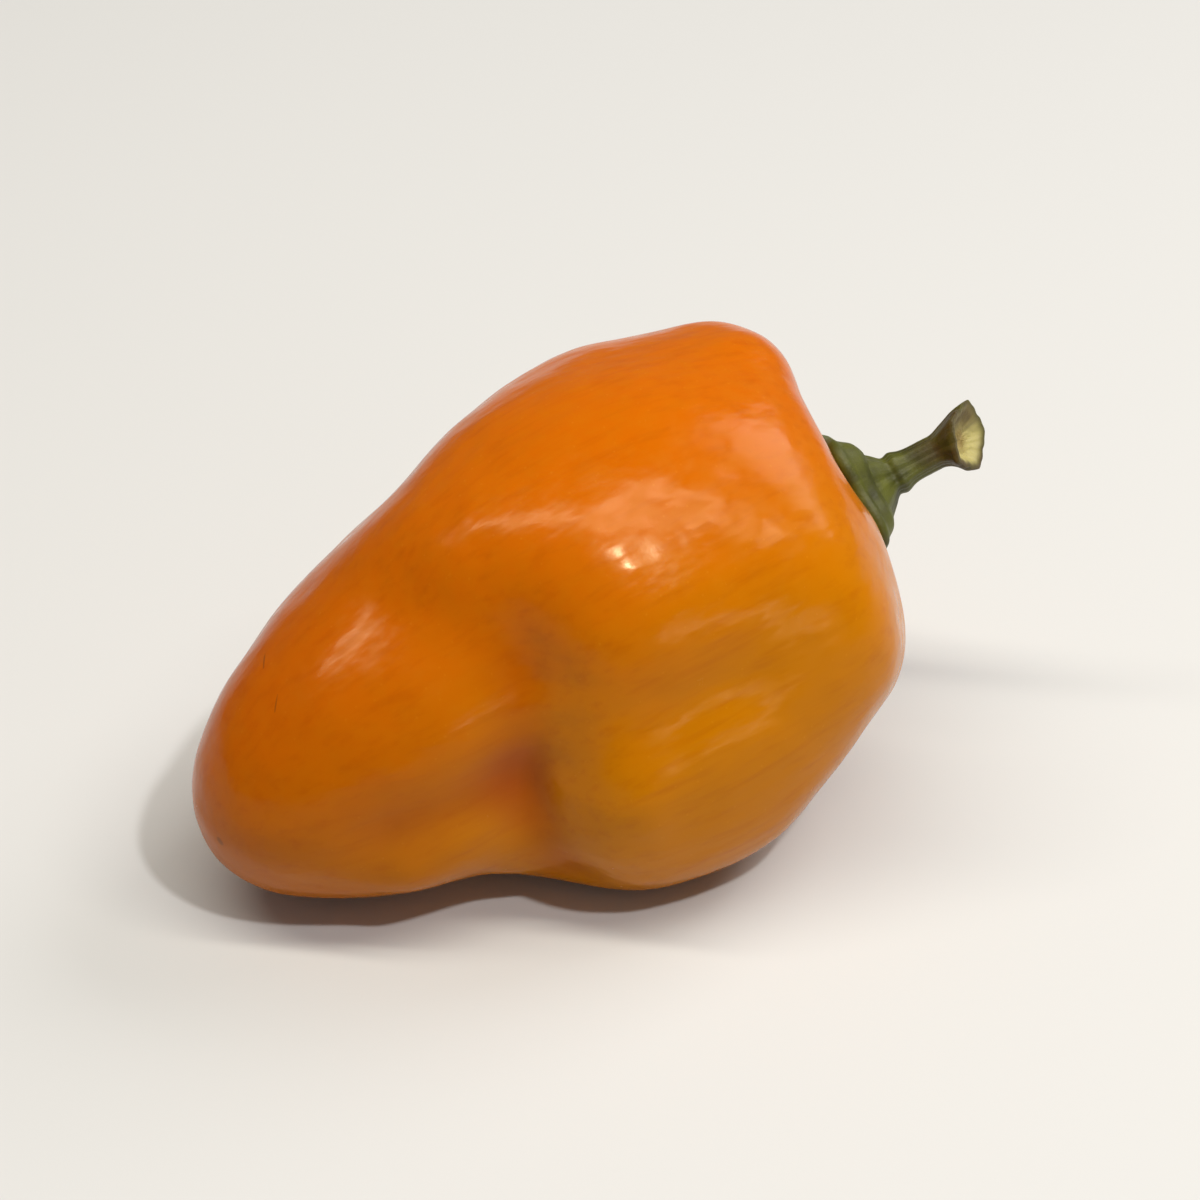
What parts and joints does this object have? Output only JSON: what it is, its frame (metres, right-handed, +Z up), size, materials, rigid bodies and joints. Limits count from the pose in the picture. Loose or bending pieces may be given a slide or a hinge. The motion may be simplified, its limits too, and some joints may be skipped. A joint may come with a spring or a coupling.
{
  "type": "habanero pepper",
  "caption": "Orange habanero pepper lying on its side: a lobed, softly folded fruit with a green five-cornered cap and a short, bent, ribbed stem.",
  "frame": {"origin": "bottom centre of the bounding box, on the surface that the pepper lies on", "axes": "+X along the fruit towards the stalk, -Y the side that faces the picture's viewer, +Z up"},
  "size_m": [0.0622, 0.0364, 0.0328],
  "materials": {
    "skin": "smooth waxy skin, glossy, golden orange and deeper orange in the folds",
    "stalk": "ribbed green plant skin, satin, with a dry pale brown broken end"
  },
  "bodies": {
    "root": {"fruit": "skin", "stalk": "stalk"}
  },
  "joints": []
}
